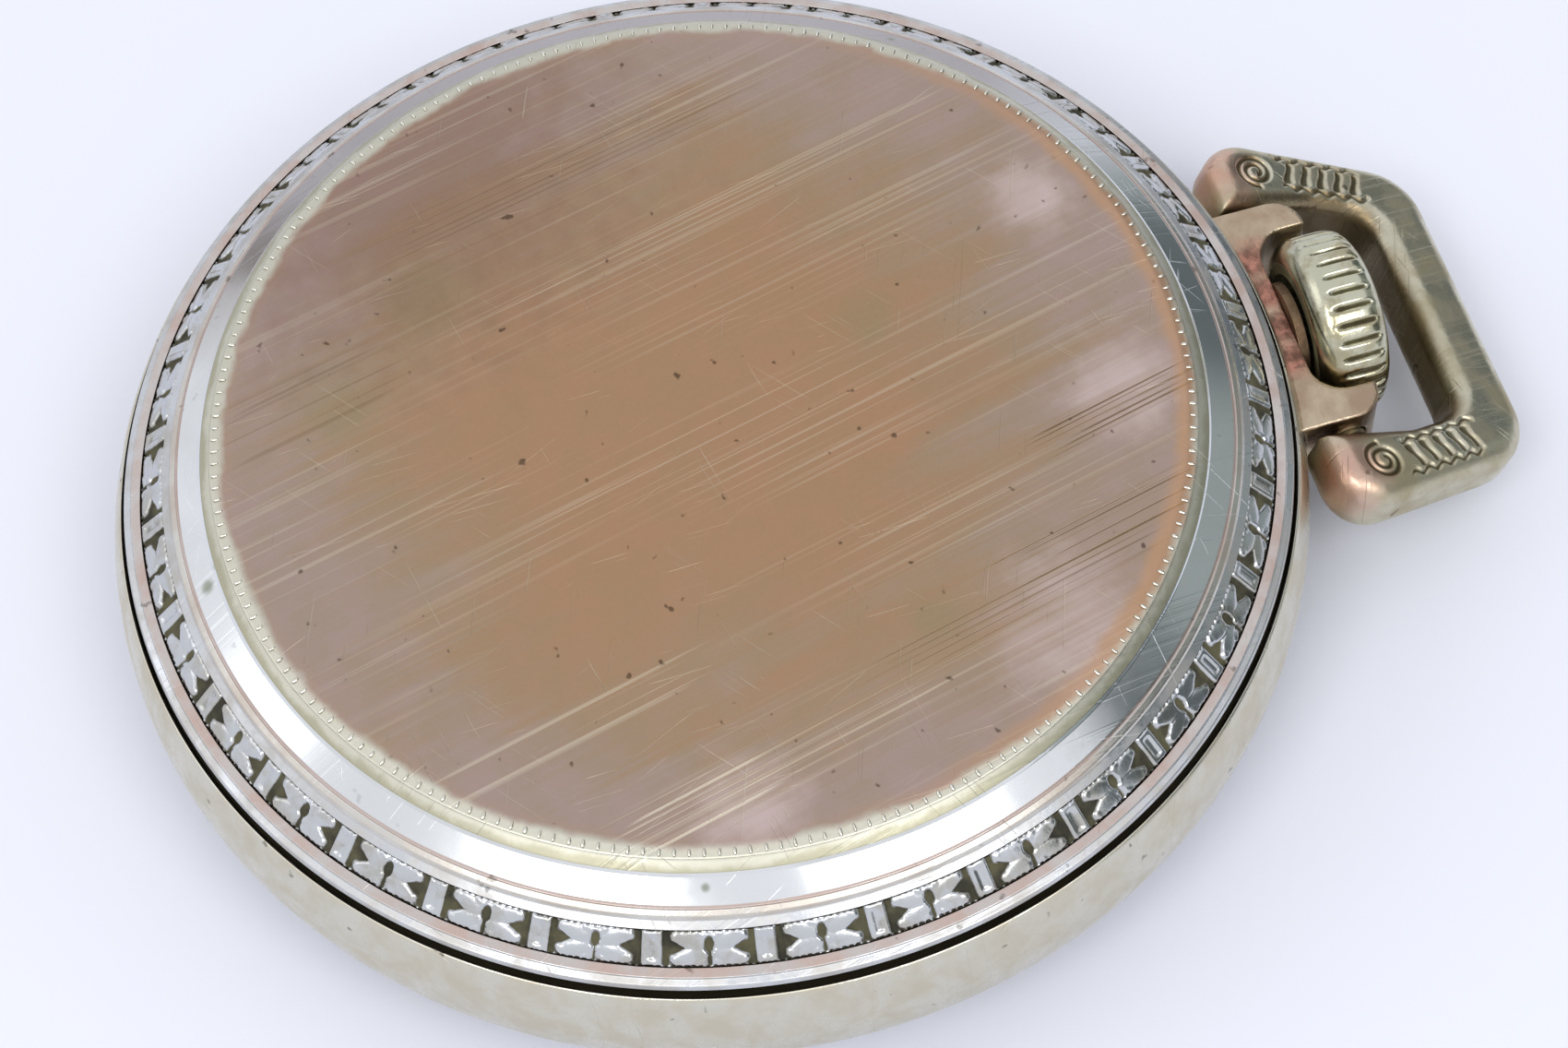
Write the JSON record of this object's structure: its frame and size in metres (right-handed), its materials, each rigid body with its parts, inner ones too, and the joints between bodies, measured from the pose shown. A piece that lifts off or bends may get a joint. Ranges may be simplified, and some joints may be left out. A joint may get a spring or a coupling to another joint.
{
  "type": "pocket watch",
  "caption": "Open-face pocket watch with an engraved screw back, band, pendant, winding crown and swinging bow, with its movement inside.",
  "frame": {"origin": "case axis at the crystal's flat outer face, on which the watch lies", "axes": "+Z out of the back cover, +Y towards the pendant and crown, +X to the right with the back facing the viewer"},
  "size_m": [0.0496, 0.0587, 0.012],
  "materials": {
    "case_copper": "worn rose copper and silver, satin disc with a polished bevel",
    "case_nickel": "worn champagne nickel silver",
    "bow_nickel": "worn olive champagne nickel silver",
    "crystal": "clear",
    "plates": "nickelled brass",
    "steel": "polished steel",
    "hairspring": "blued steel",
    "hands": "blued steel",
    "gilt": "gilt brass",
    "jewels": "ruby",
    "dial": "white vitreous enamel on copper"
  },
  "bodies": {
    "case": {"case_band": "case_nickel", "pendant": "case_nickel", "pendant_sleeve": "bow_nickel", "case_screws": "case_nickel", "pillar_plate": "plates", "barrel_bridge": "plates", "train_bridge": "plates", "balance_cock": "plates", "pallet_bridge": "plates", "bridge_screws": "steel", "train_jewels": "jewels", "crown_wheel_screw": "steel", "click_screw": "steel", "click_spring": "steel", "hairspring_stud": "steel", "regulator": "steel", "hairspring": "hairspring", "dial": "dial"},
    "cover": {"back_cover": "case_copper"},
    "bezel": {"front_bezel": "case_nickel", "crystal": "crystal"},
    "bow": {"bow": "bow_nickel"},
    "winding": {"winding_pinion": "steel"},
    "clutch": {"clutch_wheel": "steel"},
    "crown": {"crown": "bow_nickel", "stem": "steel"},
    "crown_wheel": {"crown_wheel": "steel"},
    "ratchet": {"ratchet_wheel": "steel", "ratchet_screw": "steel", "barrel_arbor": "steel"},
    "click": {"click": "steel"},
    "setting_lever": {"setting_lever": "steel"},
    "clutch_lever": {"clutch_lever": "steel"},
    "setting_wheel": {"setting_wheel": "steel"},
    "barrel": {"mainspring_barrel": "gilt", "barrel_cover": "gilt", "mainspring": "steel"},
    "centre": {"centre_wheel": "gilt", "centre_arbor": "steel", "cannon_pinion": "gilt", "minute_hand": "hands"},
    "third": {"third_wheel": "gilt", "third_pinion": "steel"},
    "fourth": {"fourth_wheel": "gilt", "fourth_pinion": "steel", "second_hand": "hands"},
    "escape": {"escape_wheel": "steel", "escape_pinion": "steel"},
    "minute_wheel": {"minute_wheel": "gilt"},
    "hour": {"hour_wheel": "gilt", "hour_hand": "hands"},
    "pallet": {"pallet_fork": "steel", "pallet_stones": "jewels"},
    "balance": {"balance_wheel": "gilt", "balance_screws": "gilt", "balance_staff": "steel", "roller_table": "gilt"}
  },
  "joints": [
    {"name": "cover_unscrew", "type": "slide", "parent": "case", "child": "cover", "axis": [0, 0, 1], "range_m": [0, 0.012]},
    {"name": "bezel_unscrew", "type": "slide", "parent": "case", "child": "bezel", "axis": [0, 0, -1], "range_m": [0, 0.012]},
    {"name": "bow_swing", "type": "hinge", "parent": "case", "child": "bow", "pos_m": [0, 0.0262, 0.0058], "axis": [1, 0, 0], "range_deg": [-16, 95]},
    {"name": "crown_turn", "type": "hinge", "parent": "case", "child": "winding", "pos_m": [0, 0.0169, 0.0058], "axis": [0, 1, 0], "continuous": true},
    {"name": "crown_pull", "type": "slide", "parent": "winding", "child": "crown", "axis": [0, 1, 0], "range_m": [0, 0.0013]},
    {"name": "clutch_shift", "type": "slide", "parent": "winding", "child": "clutch", "axis": [0, 1, 0], "range_m": [-0.0013, 0]},
    {"name": "crown_wheel_turn", "type": "hinge", "parent": "case", "child": "crown_wheel", "pos_m": [0, 0.0136, 0.00835], "axis": [0, 0, 1], "continuous": true},
    {"name": "ratchet_turn", "type": "hinge", "parent": "case", "child": "ratchet", "pos_m": [-0.00857, 0.00495, 0.00835], "axis": [0, 0, 1], "continuous": true},
    {"name": "click_lift", "type": "hinge", "parent": "case", "child": "click", "pos_m": [-0.01266, 0.01371, 0.00835], "axis": [0, 0, 1], "range_deg": [0, 8], "stiffness_Nm_per_rad": 0.000001, "springref_deg": -11.46},
    {"name": "setting_lever_turn", "type": "hinge", "parent": "case", "child": "setting_lever", "pos_m": [0.0046, 0.0178, 0.004], "axis": [0, 0, 1], "range_deg": [-12, 0]},
    {"name": "clutch_lever_turn", "type": "hinge", "parent": "case", "child": "clutch_lever", "pos_m": [0.0052, 0.0133, 0.004], "axis": [0, 0, 1], "range_deg": [0, 12]},
    {"name": "setting_wheel_turn", "type": "hinge", "parent": "case", "child": "setting_wheel", "pos_m": [0.0012, 0.01004, 0.004], "axis": [0, 0, 1], "continuous": true},
    {"name": "centre_turn", "type": "hinge", "parent": "case", "child": "centre", "pos_m": [0, 0, 0.0066], "axis": [0, 0, 1], "continuous": true},
    {"name": "barrel_turn", "type": "hinge", "parent": "case", "child": "barrel", "pos_m": [-0.00857, 0.00495, 0.0055], "axis": [0, 0, 1], "continuous": true},
    {"name": "third_turn", "type": "hinge", "parent": "case", "child": "third", "pos_m": [0.00394, -0.00603, 0.0055], "axis": [0, 0, 1], "continuous": true},
    {"name": "fourth_turn", "type": "hinge", "parent": "case", "child": "fourth", "pos_m": [0, -0.0102, 0.0055], "axis": [0, 0, 1], "continuous": true},
    {"name": "escape_turn", "type": "hinge", "parent": "case", "child": "escape", "pos_m": [-0.00477, -0.00936, 0.0055], "axis": [0, 0, 1], "continuous": true},
    {"name": "minute_wheel_turn", "type": "hinge", "parent": "case", "child": "minute_wheel", "pos_m": [0.0024, 0.00416, 0.004], "axis": [0, 0, 1], "continuous": true},
    {"name": "hour_turn", "type": "hinge", "parent": "case", "child": "hour", "pos_m": [0, 0, 0.004], "axis": [0, 0, 1], "continuous": true},
    {"name": "balance_swing", "type": "hinge", "parent": "case", "child": "balance", "pos_m": [-0.00951, -0.00649, 0.0071], "axis": [0, 0, 1], "range_deg": [-135, 135], "stiffness_Nm_per_rad": 0.0000002},
    {"name": "pallet_rock", "type": "hinge", "parent": "case", "child": "pallet", "pos_m": [-0.00887, -0.01004, 0.0055], "axis": [0, 0, 1], "range_deg": [-5, 5]}
  ],
  "couplings": [
    {"joint": "clutch_shift", "follows": "crown_pull", "ratio": -1},
    {"joint": "setting_lever_turn", "follows": "crown_pull", "rad_per_m": -134.26},
    {"joint": "clutch_lever_turn", "follows": "crown_pull", "rad_per_m": 107.4},
    {"joint": "crown_wheel_turn", "follows": "crown_turn", "ratio": -0.46667},
    {"joint": "ratchet_turn", "follows": "crown_turn", "ratio": 0.25926},
    {"joint": "barrel_turn", "follows": "centre_turn", "ratio": -0.15385},
    {"joint": "third_turn", "follows": "centre_turn", "ratio": -8},
    {"joint": "fourth_turn", "follows": "centre_turn", "ratio": 60},
    {"joint": "escape_turn", "follows": "centre_turn", "ratio": -600},
    {"joint": "minute_wheel_turn", "follows": "centre_turn", "ratio": -0.33333},
    {"joint": "hour_turn", "follows": "centre_turn", "ratio": 0.083333},
    {"joint": "setting_wheel_turn", "follows": "centre_turn", "ratio": 0.5},
    {"joint": "pallet_rock", "follows": "balance_swing", "ratio": -0.037037}
  ]
}
